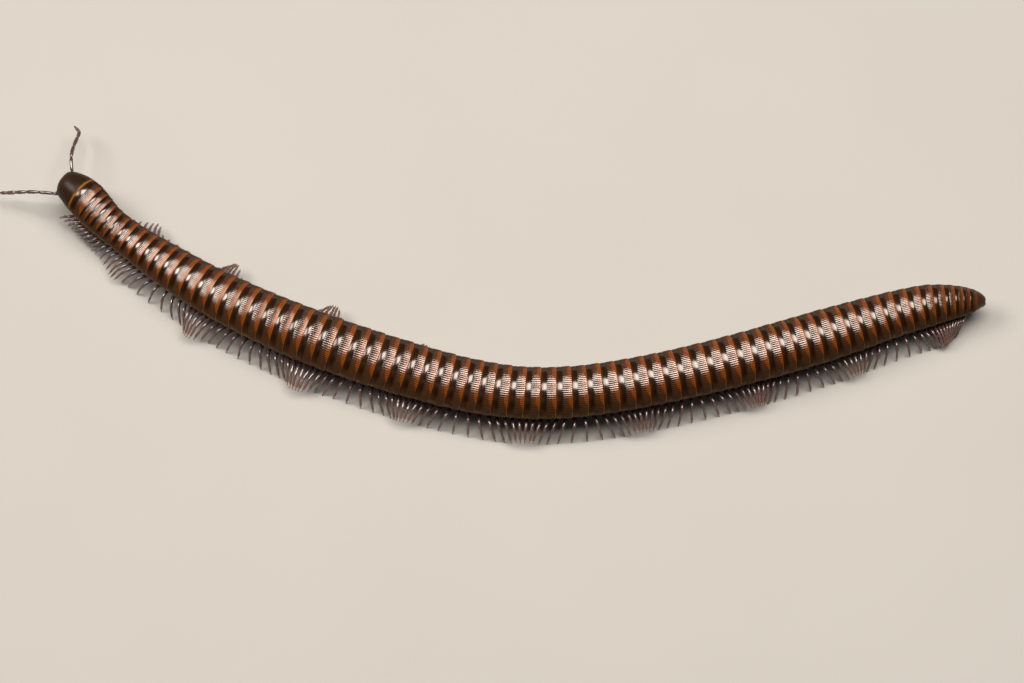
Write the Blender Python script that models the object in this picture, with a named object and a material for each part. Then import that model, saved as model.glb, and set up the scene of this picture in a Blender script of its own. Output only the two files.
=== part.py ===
"""Giant millipede, Paeromopus angusticeps: a walking adult at life size.

The body is a chain of rings along one bent axis. A place along it is a length from the front
edge of the collum, the first ring, towards the tail. Sizes are in millimetres until a finished
mesh is written in metres. Left is the animal's own left.
"""

import math

import bmesh
import bpy
import numpy as np
from mathutils import Matrix, Vector

METRE = 0.001
GAP = 0.3
WELD_DISTANCE = 0.001
AXIS_STEPS = 3000

# Bent axis of the body: plan points from the collum to the tail, and (place, height) above the ground
AXIS_PLAN = (
    (-59.3, 15.15), (-55.8, 11.85), (-53.4, 9.0), (-49.6, 5.6), (-39.0, -2.0), (-25.7, -8.9),
    (-10.7, -14.5), (4.9, -17.9), (20.7, -16.3), (36.2, -12.3), (50.5, -7.6), (61.0, -4.4), (68.6, -3.35),
)
AXIS_HEIGHTS = (
    (0, 3.2), (4, 3.6), (12, 4.1), (27, 4.9), (44, 5.2), (109, 5.2), (125, 4.8), (134, 4.35), (139, 3.75),
)

# The front end is raised off the ground as far as a place, and bends to the left with each unit of its rise
FRONT_RISE, RISE_END, RISE_BEND = 2.9, 17.0, 0.445

# Body width: (place, half width), and how much flatter the body is above and below the axis
HALF_WIDTHS = (
    (0, 2.4), (5.4, 2.83), (9.2, 2.54), (18, 2.84), (26.7, 3.3), (39.7, 3.72), (60, 3.73), (97, 3.56),
    (110, 3.66), (121, 3.43), (128, 3.08), (131.5, 2.83), (133, 2.6), (134.4, 2.37), (135.5, 2.13),
    (136.45, 1.84), (137.4, 1.5),
)
BACK_FLATNESS = 0.97
BELLY_FLATNESS = 0.92

# Rings stand askew: (place, shift along the body for each unit of height, and for each unit to the left)
RING_LEANS = (
    (0, -0.14, 0.0), (2, -0.12, 0.0), (3.9, -0.16, 0.0), (5.6, 0.05, 0.15), (7.6, 0.17, 0.13),
    (8.9, 0.21, 0.11), (11.7, 0.22, 0.035), (15, 0.2, 0.03), (18.6, 0.18, 0.04), (22.5, 0.09, 0.045),
    (28.4, 0.06, 0.05), (33.5, 0.03, 0.045), (40.6, 0.055, 0.04), (44.7, 0.1, 0.04), (48.7, 0.18, 0.055),
    (56, 0.22, 0.06), (61, 0.17, 0.06), (65.3, 0.15, 0.045), (69.6, 0.055, 0.01), (75.8, 0.02, -0.035),
    (84, 0.014, -0.04), (90.2, -0.01, -0.015), (100, -0.03, -0.03), (104.5, -0.02, -0.06),
    (108.3, 0.04, -0.04), (112.3, 0.0, -0.015), (116.2, -0.04, -0.015), (121, -0.12, -0.04),
    (126.2, -0.2, -0.08), (131.4, -0.16, -0.1), (139, -0.08, -0.09),
)

# Hind edges of the rings, the first of them the collum's, as (ring, place)
RING_COUNT = 72
RING_EDGES = (
    (1, 3.95), (2, 5.6), (3, 6.68), (4, 7.65), (5, 8.87), (6, 10.26), (8, 13.35), (10, 16.83),
    (12, 20.52), (16, 28.43), (20, 36.5), (26, 48.8), (31, 59.15), (36, 69.5), (41, 79.88), (46, 90.22),
    (50, 98.43), (53, 104.65), (56, 110.3), (59, 116.2), (62, 122.25), (64, 126.2), (66, 129.8),
    (67, 131.45), (68, 133.0), (69, 134.35), (70, 135.5), (71, 136.45), (72, 137.35),
)
FRONT_RING_RATIO = 0.945
RIM_STEP = 0.08
TRUNK_SIDES = 16
CORNER_REACH = 1.01
LAST_RINGS_OF_LENGTHS = (11, 19, 27, 34, 42, 49, 57, 65, 72)

# Walking legs: one pair on rings 2 to 4, none on the last ring and two pairs on the others
FIRST_DOUBLE_RING = 5
DOUBLE_LEG_PLACES = (0.25, 0.75)
SINGLE_LEG_PLACE = 0.6
FULL_HALF_WIDTH = 3.7
LEG_SIDES = 3
LEG_RADII = (0.3, 0.3, 0.28, 0.17)
ROOT_SIDE, ROOT_RISE = 0.42, 0.62
COXA_SIDE, COXA_DROP = 0.95, 0.2
KNEE_SIDE, KNEE_RISE, KNEE_LIFT = 3.6, 0.95, 0.3
STANCE_SIDE, SWING_HEIGHT = 5.35, 1.9
# How far out the foot of a raised leg is: (place, distance)
SWING_SIDES = ((0, 6.85), (46, 6.85), (60, 6.2), (75, 6.0), (139, 6.0))

# Leg waves: places where raised legs gather, the swing of tips along the body, how much faster it passes
# over legs on the ground, and the front legs that reach forward, tucked in, before the waves begin
GATHERINGS = (-4.0, 15.2, 27.7, 44.1, 59.0, 73.9, 88.6, 104.2, 118.3, 132.2, 147.0)
TIP_SWING, WAVE_SKEW = 1.95, 0.2
KNEE_SHARE, COXA_SHARE = 0.35, 0.05
STANCE_SHARE = 0.1
FRONT_REACH, FRONT_TUCK = 2.7, 0.9
REACH_START, REACH_END = 10.0, 22.0
WAVE_START, WAVE_END = 10.0, 18.0

# Head, in its own axes back, left and up, turned so that the face looks forward and down
HEAD_PLACE, HEAD_DROP = 1.3, 0.68
HEAD_HALF = (1.35, 1.98, 1.85)
HEAD_TURN = math.radians(14)
CHEEK_OFFSET, CHEEK_HALF = (0.3, 1.15, -0.95), (1.0, 0.75, 0.9)
LIP_OFFSET, LIP_HALF = (-0.8, 0.0, -1.2), (0.5, 1.1, 0.7)
CHIN_OFFSET, CHIN_HALF = (0.35, 0.0, -1.35), (0.95, 0.95, 0.5)
EYE_OFFSET, EYE_HALF = (-0.45, 1.66, 0.75), (0.46, 0.34, 0.38)

# Collum, a smooth blunt dome: (place, half width, rise above the axis)
COLLUM_OUTLINE = (
    (0.0, 1.0, 1.0), (0.15, 1.5, 1.35), (0.5, 1.85, 1.7), (1.1, 2.1, 2.05), (2.1, 2.42, 2.38),
    (3.0, 2.65, 2.58), (3.8, 2.76, 2.67),
)
COLLUM_SIDES = 24
COLLUM_DROP_RATIO = 0.92
COLLUM_CUT_DROP, COLLUM_CUT_PLACE, COLLUM_CUT_TURN = 2.12, 2.5, math.radians(40)
COLLUM_CUT_SIZE = 12.0

# Feelers: half thickness in and between the joints, and routes as (x, y, height)
FEELER_RADIUS, FEELER_WAIST, FEELER_TIP = 0.28, 0.25, 0.17
FEELER_WIDEST_SHARE = 0.75
FEELER_SOCKET = (-0.5, 0.8, -0.1)
LEFT_FEELER = (
    (-61.6, 12.2, 5.55), (-62.8, 12.45, 5.25), (-65.5, 12.95, 4.2), (-67.6, 13.4, 3.1), (-68.6, 13.75, 2.4),
)
RIGHT_FEELER = (
    (-58.3, 17.2, 5.55), (-58.0, 20.35, 4.9), (-57.7, 22.6, 3.9), (-58.1, 23.3, 3.3), (-58.5, 23.9, 3.0),
)

# Telson, the pointed last piece with its two anal valves
TELSON_LENGTH, TELSON_HALF_WIDTH, TELSON_TAPER = 1.55, 1.5, 0.5
TELSON_PLACES = (0.0, 0.2, 0.4, 0.6, 0.78, 0.92, 0.985)
VALVE_OFFSET, VALVE_HALF = (0.72, 0.38, -0.3), (0.72, 0.46, 0.75)

SHELL_COLOUR, SHELL_ROUGHNESS = (0.026, 0.014, 0.009, 1), 0.28
LIMB_COLOUR, LIMB_ROUGHNESS = (0.045, 0.016, 0.013, 1), 0.3
EYE_COLOUR, EYE_ROUGHNESS = (0.006, 0.005, 0.005, 1), 0.2
SMOOTH_ANGLE = math.radians(30)


def spline_through(knots, where):
    """Natural cubic spline through (place, value, ...) knots, read at the places in where."""
    table = np.array(knots, float)
    place, value = table[:, 0], table[:, 1:]
    step = np.diff(place)
    slope = np.diff(value, axis=0) / step[:, None]
    matrix = np.eye(len(place))
    right = np.zeros_like(value)
    for i in range(1, len(place) - 1):
        matrix[i, i - 1:i + 2] = step[i - 1], 2 * (step[i - 1] + step[i]), step[i]
        right[i] = 6 * (slope[i] - slope[i - 1])
    bend = np.linalg.solve(matrix, right)
    where = np.atleast_1d(np.asarray(where, float))
    i = np.clip(np.searchsorted(place, where) - 1, 0, len(step) - 1)
    before = ((where - place[i]) / step[i])[:, None]
    after = 1 - before
    curve = after * value[i] + before * value[i + 1]
    square = (step[i] ** 2 / 6)[:, None]
    return curve + square * ((after ** 3 - after) * bend[i] + (before ** 3 - before) * bend[i + 1])


class Body:
    """The bent axis with its heights and half widths, and the ring edges along it."""

    def __init__(self):
        plan = np.array(AXIS_PLAN)
        chords = np.linalg.norm(np.diff(plan, axis=0), axis=1)
        places = np.concatenate([[0], np.cumsum(chords)])
        fine = np.linspace(0, places[-1], AXIS_STEPS)
        self.points = spline_through(np.column_stack([places, plan]), fine)
        steps = np.linalg.norm(np.diff(self.points, axis=0), axis=1)
        self.lengths = np.concatenate([[0], np.cumsum(steps)])
        self.edges = np.concatenate([[0], spline_through(RING_EDGES, np.arange(1, RING_COUNT + 1))[:, 0]])

    def at(self, place):
        x = np.interp(place, self.lengths, self.points[:, 0])
        y = np.interp(place, self.lengths, self.points[:, 1])
        z = spline_through(AXIS_HEIGHTS, place)[0, 0]
        rise = self.rise(place)
        return Vector((x, y - RISE_BEND * rise, z + rise))

    def rise(self, place):
        """How far the raised front end is lifted at a place."""
        return FRONT_RISE * max(1 - place / RISE_END, 0.0) ** 2

    def frame(self, place):
        """Unit vectors towards the tail, to the animal's left and up."""
        reach = 0.5
        tail = (self.at(place + reach) - self.at(place - reach)).normalized()
        left = tail.cross(Vector((0, 0, 1))).normalized()
        return tail, left, left.cross(tail).normalized()

    def half_width(self, place):
        return float(spline_through(HALF_WIDTHS, place)[0, 0])

    def belly(self, place):
        return self.at(place).z - BELLY_FLATNESS * self.half_width(place)

    def lean(self, place):
        """Shift along the body for each unit up and for each unit to the left."""
        places, leans, yaws = zip(*RING_LEANS)
        return float(np.interp(place, places, leans)), float(np.interp(place, places, yaws))

    def under(self, place, along, left, height):
        """A point at a given height under the body, set off from the belly of the section at place."""
        tail_axis, left_axis, _ = self.frame(place)
        tail_axis = Vector((tail_axis.x, tail_axis.y, 0)).normalized()
        along -= self.lean(place)[0] * BELLY_FLATNESS * self.half_width(place)
        point = self.at(place) + along * tail_axis + left * left_axis
        return Vector((point.x, point.y, height))

    def point(self, place, along, left, up):
        """A point given in the axes of the section at place, leaning as the rings lean."""
        tail_axis, left_axis, up_axis = self.frame(place)
        lean, yaw = self.lean(place)
        along += up * lean + left * yaw
        return self.at(place) + along * tail_axis + left * left_axis + up * up_axis


BODY = Body()


def ring_section(place, half_width, rise, drop, sides=TRUNK_SIDES):
    """Corners of one closed cross section of the body."""
    corners = []
    for i in range(sides):
        turn = 2 * math.pi * (i + 0.5) / sides
        up = math.cos(turn)
        corners.append(BODY.point(place, 0, math.sin(turn) * half_width, up * (rise if up > 0 else drop)))
    return corners


def round_section(place, half_width):
    half_width *= CORNER_REACH
    return ring_section(place, half_width, BACK_FLATNESS * half_width, BELLY_FLATNESS * half_width)


def loft(sections):
    """A closed bmesh skin over sections that all have the same number of corners."""
    mesh = bmesh.new()
    rows = [[mesh.verts.new(corner) for corner in section] for section in sections]
    sides = len(rows[0])
    for row, following in zip(rows, rows[1:]):
        for i in range(sides):
            j = (i + 1) % sides
            mesh.faces.new((row[i], row[j], following[j], following[i]))
    mesh.faces.new(rows[0][::-1])
    mesh.faces.new(rows[-1])
    bmesh.ops.recalc_face_normals(mesh, faces=mesh.faces)
    return mesh


def tube_sections(route, radii, sides, flat_end):
    """Cross sections along a route; with flat_end the last one lies level, on the ground."""
    sections = []
    for i, (middle, radius) in enumerate(zip(route, radii)):
        ahead = route[min(i + 1, len(route) - 1)] - route[max(i - 1, 0)]
        across = ahead.cross(Vector((0, 0, 1))).normalized()
        over = across.cross(ahead).normalized()
        if flat_end and i == len(route) - 1:
            over = Vector((0, 0, 1)).cross(across)
        turns = [2 * math.pi * k / sides for k in range(sides)]
        sections.append([middle + radius * (math.cos(t) * across + math.sin(t) * over) for t in turns])
    return sections


def new_object(name, mesh, collection):
    """Turns a bmesh into an object, still in millimetres."""
    data = bpy.data.meshes.new(name)
    mesh.to_mesh(data)
    mesh.free()
    made = bpy.data.objects.new(name, data)
    collection.objects.link(made)
    return made


def ball(middle, halves, axes, segments=10, rings=7):
    """A closed ellipsoid with its half sizes along three given unit vectors."""
    mesh = bmesh.new()
    bmesh.ops.create_uvsphere(mesh, u_segments=segments, v_segments=rings, radius=1)
    turn = Matrix([halves[i] * axes[i] for i in range(3)]).transposed().to_4x4()
    bmesh.ops.transform(mesh, matrix=Matrix.Translation(middle) @ turn, verts=mesh.verts)
    bmesh.ops.recalc_face_normals(mesh, faces=mesh.faces)
    return mesh


def largest_surface(mesh):
    """Removes every closed surface of a bmesh but the one with the most faces."""
    left = set(mesh.faces)
    surfaces = []
    while left:
        surface, front = [], [left.pop()]
        while front:
            face = front.pop()
            surface.append(face)
            for edge in face.edges:
                beside = [f for f in edge.link_faces if f in left]
                left.difference_update(beside)
                front.extend(beside)
        surfaces.append(surface)
    surfaces.sort(key=len)
    spare = [face for surface in surfaces[:-1] for face in surface]
    bmesh.ops.delete(mesh, geom=spare, context="FACES")


def combine(base, pieces, operation):
    """One applied Boolean of base with a list of closed bmeshes."""
    group = bpy.data.collections.new(base.name + "_pieces")
    bpy.context.scene.collection.children.link(group)
    for i, piece in enumerate(pieces):
        new_object(f"{base.name}_piece_{i}", piece, group)
    joiner = base.modifiers.new("join", "BOOLEAN")
    joiner.operation = operation
    joiner.operand_type = "COLLECTION"
    joiner.collection = group
    joiner.solver = "EXACT"
    seen = base.evaluated_get(bpy.context.evaluated_depsgraph_get())
    joined = bpy.data.meshes.new_from_object(seen)
    base.modifiers.clear()
    for piece in list(group.objects):
        bpy.data.objects.remove(piece)
    bpy.data.collections.remove(group)
    mesh = bmesh.new()
    mesh.from_mesh(joined)
    bpy.data.meshes.remove(joined)
    largest_surface(mesh)
    mesh.to_mesh(base.data)
    mesh.free()


def material(name, colour, roughness):
    made = bpy.data.materials.new(name)
    made.use_nodes = True
    shader = made.node_tree.nodes["Principled BSDF"]
    shader.inputs["Base Color"].default_value = colour
    shader.inputs["Roughness"].default_value = roughness
    return made


def finish(made, paint):
    """Writes a finished object in metres, shaded and coloured."""
    made.data.transform(Matrix.Scale(METRE, 4))
    made.data.materials.clear()
    made.data.materials.append(paint)
    made.data.shade_smooth()
    made.data.set_sharp_from_angle(angle=SMOOTH_ANGLE)


def smooth_step(value):
    value = min(max(value, 0.0), 1.0)
    return value * value * (3 - 2 * value)


def leg_places(ring):
    """Places of the leg pairs on one ring, none on the collum and the last ring."""
    if ring < 2 or ring == RING_COUNT:
        return []
    front, back = BODY.edges[ring - 1], BODY.edges[ring]
    shares = DOUBLE_LEG_PLACES if ring >= FIRST_DOUBLE_RING else (SINGLE_LEG_PLACE,)
    return [float(front + share * (back - front)) for share in shares]


def leg_route(place, side):
    """Middle line of one leg, root to tip, and whether its tip is on the ground."""
    phase = 2 * math.pi * float(spline_through(list(zip(GATHERINGS, range(len(GATHERINGS)))), place)[0, 0])
    phase -= WAVE_SKEW * math.sin(phase)
    wave = smooth_step((place - WAVE_START) / (WAVE_END - WAVE_START))
    raised = smooth_step((math.cos(phase) - STANCE_SHARE) / (1 - STANCE_SHARE)) * wave
    front = 1 - smooth_step((place - REACH_START) / (REACH_END - REACH_START))
    swing = -TIP_SWING * math.sin(phase) * wave - FRONT_REACH * front
    half = BODY.half_width(place)
    size = half / FULL_HALF_WIDTH
    belly = BODY.belly(place)
    swing_side = float(np.interp(place, *zip(*SWING_SIDES)))
    reach = half - FULL_HALF_WIDTH + STANCE_SIDE + raised * (swing_side - STANCE_SIDE) - FRONT_TUCK * front
    lift = raised * SWING_HEIGHT * size + BODY.rise(place)
    tip_height = max(lift, LEG_RADII[-1] * size) if lift > 0 else 0.0
    outline = (
        (0.0, ROOT_SIDE * size, belly + ROOT_RISE * size),
        (COXA_SHARE * swing, COXA_SIDE * size, belly - COXA_DROP * size),
        (KNEE_SHARE * swing, KNEE_SIDE * size, belly + KNEE_RISE * size + KNEE_LIFT * raised),
        (swing, reach, tip_height),
    )
    route = [BODY.under(place, along, side * out, height) for along, out, height in outline]
    return route, tip_height == 0.0


def make_legs(rings):
    """Closed bmeshes of all legs on a run of rings, both sides."""
    legs = []
    for ring in rings:
        for place in leg_places(ring):
            size = BODY.half_width(place) / FULL_HALF_WIDTH
            radii = [radius * size for radius in LEG_RADII]
            for side in (1, -1):
                route, on_ground = leg_route(place, side)
                legs.append(loft(tube_sections(route, radii, LEG_SIDES, on_ground)))
    return legs


def make_trunk(number, first, last, collection, paint):
    """One length of the body: its rings, stepped at each hind edge, with their legs fused on."""
    start, end = BODY.edges[first - 1] + GAP / 2, BODY.edges[last] - GAP / 2
    sections = []
    for ring in range(first, last + 1):
        front, back = max(BODY.edges[ring - 1], start), min(BODY.edges[ring], end)
        wide = BODY.half_width((front + back) / 2)
        sections.append(round_section(front, FRONT_RING_RATIO * wide))
        sections.append(round_section(back if ring == last else back - RIM_STEP, wide))
    trunk = new_object(f"trunk_{number:02d}", loft(sections), collection)
    combine(trunk, make_legs(range(first, last + 1)), "UNION")
    finish(trunk, paint)


def head_axes():
    """The head's own axes: back, left and up, turned so that the face looks down."""
    back, left, up = BODY.frame(HEAD_PLACE)
    turn = Matrix.Rotation(HEAD_TURN, 3, left)
    return turn @ back, left, turn @ up


def head_point(offset, side=1):
    back, left, up = head_axes()
    middle = BODY.at(HEAD_PLACE)
    middle.z -= HEAD_DROP
    return middle + offset[0] * back + side * offset[1] * left + offset[2] * up


def head_ball(offset, half, side=1, grown=0.0):
    """A lobe of the head in the head's axes, grown all round where it cuts a hollow for itself."""
    return ball(head_point(offset, side), [value + grown for value in half], head_axes())


def head_lobes(grown=0.0):
    """Cheeks, upper lip and chin plate."""
    lobes = [head_ball(CHEEK_OFFSET, CHEEK_HALF, side, grown) for side in (1, -1)]
    lobes.append(head_ball(LIP_OFFSET, LIP_HALF, 1, grown))
    lobes.append(head_ball(CHIN_OFFSET, CHIN_HALF, 1, grown))
    return lobes


def head_capsule(grown=0.0):
    return ball(head_point((0, 0, 0)), [value + grown for value in HEAD_HALF], head_axes(), 16, 10)


def make_head(collection, paint, eye_paint):
    """Head capsule with its lobes, and an eye in a socket on each side."""
    head = new_object("head", head_capsule(), collection)
    combine(head, head_lobes(), "UNION")
    combine(head, [head_ball(EYE_OFFSET, EYE_HALF, side, GAP) for side in (1, -1)], "DIFFERENCE")
    finish(head, paint)
    for name, side in (("eye_left", 1), ("eye_right", -1)):
        eye = new_object(name, head_ball(EYE_OFFSET, EYE_HALF, side), collection)
        finish(eye, eye_paint)


def make_collum(collection, paint):
    """The smooth first ring: blunt in front, hollowed for the head and cut away below it."""
    sections = []
    for place, half_width, rise in COLLUM_OUTLINE:
        sections.append(ring_section(place, half_width, rise, COLLUM_DROP_RATIO * half_width, COLLUM_SIDES))
    collum = new_object("collum", loft(sections), collection)
    cuts = [head_capsule(GAP)] + head_lobes(GAP)
    cuts += [head_ball(EYE_OFFSET, EYE_HALF, side, GAP) for side in (1, -1)]
    block = bmesh.new()
    bmesh.ops.create_cube(block, size=COLLUM_CUT_SIZE)
    back, left, up = BODY.frame(COLLUM_CUT_PLACE)
    middle = BODY.at(COLLUM_CUT_PLACE)
    middle.z -= COLLUM_CUT_DROP
    shape = Matrix([back, left, up]).transposed().to_4x4()
    shift = Matrix.Translation(-COLLUM_CUT_SIZE / 2 * (back + up))
    turn = Matrix.Rotation(COLLUM_CUT_TURN, 4, left)
    bmesh.ops.transform(block, matrix=Matrix.Translation(middle) @ turn @ shift @ shape, verts=block.verts)
    combine(collum, cuts + [block], "DIFFERENCE")
    finish(collum, paint)


def make_feeler(name, side, route, collection, paint):
    """A jointed feeler: a bevelled curve, thinner at each joint, made into a mesh."""
    socket = [half * share for half, share in zip(HEAD_HALF, FEELER_SOCKET)]
    away = [share / half for half, share in zip(HEAD_HALF, FEELER_SOCKET)]
    length = math.sqrt(sum(value * value for value in away))
    size = math.sqrt(sum(value * value for value in FEELER_SOCKET))
    root = [value / size + (GAP + FEELER_WAIST / 2) * slope / length for value, slope in zip(socket, away)]
    stops = [head_point(root, side)] + [Vector(point) for point in route]
    points, radii = [], []
    for start, end in zip(stops, stops[1:]):
        points += [start, start.lerp(end, FEELER_WIDEST_SHARE)]
        radii += [FEELER_WAIST, FEELER_RADIUS]
    points.append(stops[-1])
    radii.append(FEELER_TIP)
    curve = bpy.data.curves.new(name, "CURVE")
    curve.dimensions = "3D"
    curve.bevel_depth = 1.0
    curve.bevel_resolution = 2
    curve.use_fill_caps = True
    line = curve.splines.new("POLY")
    line.points.add(len(points) - 1)
    for knot, middle, radius in zip(line.points, points, radii):
        knot.co = (*middle, 1)
        knot.radius = radius
    wire = bpy.data.objects.new(name + "_curve", curve)
    collection.objects.link(wire)
    seen = wire.evaluated_get(bpy.context.evaluated_depsgraph_get())
    data = bpy.data.meshes.new_from_object(seen)
    mesh = bmesh.new()
    mesh.from_mesh(data)
    bpy.data.objects.remove(wire)
    bpy.data.meshes.remove(data)
    bmesh.ops.remove_doubles(mesh, verts=mesh.verts, dist=WELD_DISTANCE)
    bmesh.ops.recalc_face_normals(mesh, faces=mesh.faces)
    finish(new_object(name, mesh, collection), paint)


def make_telson(collection, paint):
    """The pointed last piece, with two valves that meet in a slit."""
    front = BODY.edges[RING_COUNT] + GAP / 2
    sections = []
    for share in TELSON_PLACES:
        half_width = TELSON_HALF_WIDTH * (1 - share) ** TELSON_TAPER
        sections.append(round_section(front + (TELSON_LENGTH - GAP / 2) * share, half_width))
    telson = new_object("telson", loft(sections), collection)
    valves = []
    for side in (1, -1):
        middle = BODY.point(front, VALVE_OFFSET[0], side * VALVE_OFFSET[1], VALVE_OFFSET[2])
        valves.append(ball(middle, VALVE_HALF, BODY.frame(front)))
    combine(telson, valves, "UNION")
    finish(telson, paint)


def main():
    for old in list(bpy.data.objects):
        bpy.data.objects.remove(old)
    parts = bpy.data.collections.new("giant_millipede")
    bpy.context.scene.collection.children.link(parts)
    shell = material("shell", SHELL_COLOUR, SHELL_ROUGHNESS)
    limbs = material("limbs", LIMB_COLOUR, LIMB_ROUGHNESS)
    eyes = material("eyes", EYE_COLOUR, EYE_ROUGHNESS)
    make_head(parts, shell, eyes)
    make_feeler("antenna_left", 1, LEFT_FEELER, parts, limbs)
    make_feeler("antenna_right", -1, RIGHT_FEELER, parts, limbs)
    make_collum(parts, shell)
    first = 2
    for number, last in enumerate(LAST_RINGS_OF_LENGTHS, 1):
        make_trunk(number, first, last, parts, shell)
        first = last + 1
    make_telson(parts, shell)


if __name__ == "__main__":
    main()
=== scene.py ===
"""Looks of the giant millipede: rings, legs, head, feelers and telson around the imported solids.

A place is a length along the bent axis from the front edge of the collum, the first ring, towards
the tail. A turn is an angle round the body from the middle of the back. Sizes are in millimetres
until a mesh is written in metres. Left is the animal's own left.
"""

import math

import bpy
import numpy as np
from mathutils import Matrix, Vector


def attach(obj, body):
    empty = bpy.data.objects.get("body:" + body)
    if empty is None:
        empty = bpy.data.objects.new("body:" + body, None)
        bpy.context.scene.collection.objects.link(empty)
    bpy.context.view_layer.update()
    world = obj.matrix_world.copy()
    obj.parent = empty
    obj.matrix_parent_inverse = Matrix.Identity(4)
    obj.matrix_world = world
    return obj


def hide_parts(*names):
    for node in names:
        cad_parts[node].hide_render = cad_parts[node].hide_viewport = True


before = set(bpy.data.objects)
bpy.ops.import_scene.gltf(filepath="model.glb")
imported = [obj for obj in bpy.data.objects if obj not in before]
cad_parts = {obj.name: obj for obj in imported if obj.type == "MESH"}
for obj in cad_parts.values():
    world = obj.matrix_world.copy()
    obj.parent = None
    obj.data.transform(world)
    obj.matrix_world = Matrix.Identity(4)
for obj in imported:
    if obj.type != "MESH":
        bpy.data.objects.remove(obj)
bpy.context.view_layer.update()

METRE = 0.001
RANDOM = np.random.default_rng(71)
AXIS_STEPS = 3000
POLE_GAP = 0.06
PATCH_GAP, PATCH_ROOM = 0.03, 1.15
FRAME_REACH = 0.5

# Bent axis of the body: plan points from the collum to the tail, and (place, height) above the ground
AXIS_PLAN = (
    (-59.3, 15.15), (-55.8, 11.85), (-53.4, 9.0), (-49.6, 5.6), (-39.0, -2.0), (-25.7, -8.9),
    (-10.7, -14.5), (4.9, -17.9), (20.7, -16.3), (36.2, -12.3), (50.5, -7.6), (61.0, -4.4), (68.6, -3.35),
)
AXIS_HEIGHTS = (
    (0, 3.2), (4, 3.6), (12, 4.1), (27, 4.9), (44, 5.2), (109, 5.2), (125, 4.8), (134, 4.35), (139, 3.75),
)

# The front end's rise, the place where it ends, and its bend to the left for each unit of the rise
FRONT_RISE, RISE_END, RISE_BEND = 2.9, 17.0, 0.445

# Body width: (place, half width), and how much flatter the body is above and below the axis
HALF_WIDTHS = (
    (0, 2.4), (5.4, 2.83), (9.2, 2.54), (18, 2.84), (26.7, 3.3), (39.7, 3.72), (60, 3.73), (97, 3.56),
    (110, 3.66), (121, 3.43), (128, 3.08), (131.5, 2.83), (133, 2.6), (134.4, 2.37), (135.5, 2.13),
    (136.45, 1.84), (137.4, 1.5),
)
BACK_FLATNESS = 0.97
BELLY_FLATNESS = 0.92

# Rings stand askew: (place, shift along the body for each unit of height, and for each unit to the left)
RING_LEANS = (
    (0, -0.14, 0.0), (2, -0.12, 0.0), (3.9, -0.16, 0.0), (5.6, 0.05, 0.15), (7.6, 0.17, 0.13),
    (8.9, 0.21, 0.11), (11.7, 0.22, 0.035), (15, 0.2, 0.03), (18.6, 0.18, 0.04), (22.5, 0.09, 0.045),
    (28.4, 0.06, 0.05), (33.5, 0.03, 0.045), (40.6, 0.055, 0.04), (44.7, 0.1, 0.04), (48.7, 0.18, 0.055),
    (56, 0.22, 0.06), (61, 0.17, 0.06), (65.3, 0.15, 0.045), (69.6, 0.055, 0.01), (75.8, 0.02, -0.035),
    (84, 0.014, -0.04), (90.2, -0.01, -0.015), (100, -0.03, -0.03), (104.5, -0.02, -0.06),
    (108.3, 0.04, -0.04), (112.3, 0.0, -0.015), (116.2, -0.04, -0.015), (121, -0.12, -0.04),
    (126.2, -0.2, -0.08), (131.4, -0.16, -0.1), (139, -0.08, -0.09),
)

# Hind edges of the rings, the first of them the collum's, as (ring, place)
RING_COUNT = 72
RING_EDGES = (
    (1, 3.95), (2, 5.6), (3, 6.68), (4, 7.65), (5, 8.87), (6, 10.26), (8, 13.35), (10, 16.83),
    (12, 20.52), (16, 28.43), (20, 36.5), (26, 48.8), (31, 59.15), (36, 69.5), (41, 79.88), (46, 90.22),
    (50, 98.43), (53, 104.65), (56, 110.3), (59, 116.2), (62, 122.25), (64, 126.2), (66, 129.8),
    (67, 131.45), (68, 133.0), (69, 134.35), (70, 135.5), (71, 136.45), (72, 137.35),
)
LAST_RINGS_OF_LENGTHS = (11, 19, 27, 34, 42, 49, 57, 65, 72)

# Closed profile of a ring, from its hidden front over the hind rim and back inside, as (share of
# the ring's length, girth), and how unevenly the rings are tilted and swollen
RING_PROFILE = (
    (-0.12, 0.945), (0.0, 0.97), (0.07, 0.978), (0.17, 0.985), (0.27, 0.987), (0.325, 0.985),
    (0.365, 0.979), (0.405, 0.986), (0.46, 0.9915), (0.54, 0.996), (0.64, 0.9985), (0.75, 1.0),
    (0.86, 0.999), (0.93, 0.997), (0.965, 0.994), (0.988, 0.989), (1.0, 0.979), (0.99, 0.96),
    (0.6, 0.94), (-0.12, 0.915),
)
OUTER_ROWS = 17
RING_TILT, RING_SWELL = 0.022, 0.004

# Lengthwise lines of a ring: number, depths of one line's columns, strength as (share of the
# ring's length, strength), and unevenness
STRIA_COUNT = 76
STRIA_SHAPE = (1.0, 0.5, 0.06, 0.06, 0.5)
STRIA_DEPTH = 0.05
STRIA_ENVELOPE = ((0.37, 0.0), (0.42, 0.9), (0.6, 1.0), (0.9, 0.9), (0.97, 0.6), (1.0, 0.0))
STRIA_UNEVENNESS, STRIA_NUDGE = 0.12, 0.1

# How strongly rings show their orange-brown band, as (ring, strength)
BAND_FADE = ((2, 0.9), (5, 1.0), (67, 1.0), (70, 0.8), (72, 0.3))
BAND_UNEVENNESS, LEAST_BAND = 0.06, 0.2

# Pores of the defence glands, low on the flanks from the sixth ring to the last but one, and the
# rows of a pore's lip as (radius, lift) in half sizes of the pore
FIRST_PORE_RING = 6
PORE_TURN = math.radians(97)
PORE_SHARE, PORE_GIRTH, PORE_HALF = 0.45, 0.978, 0.075
PORE_LIP = ((1.5, -0.3), (1.35, 0.25), (1.0, 0.42), (0.55, 0.3), (0.4, -0.1))
PORE_COLUMNS = 12

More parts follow.
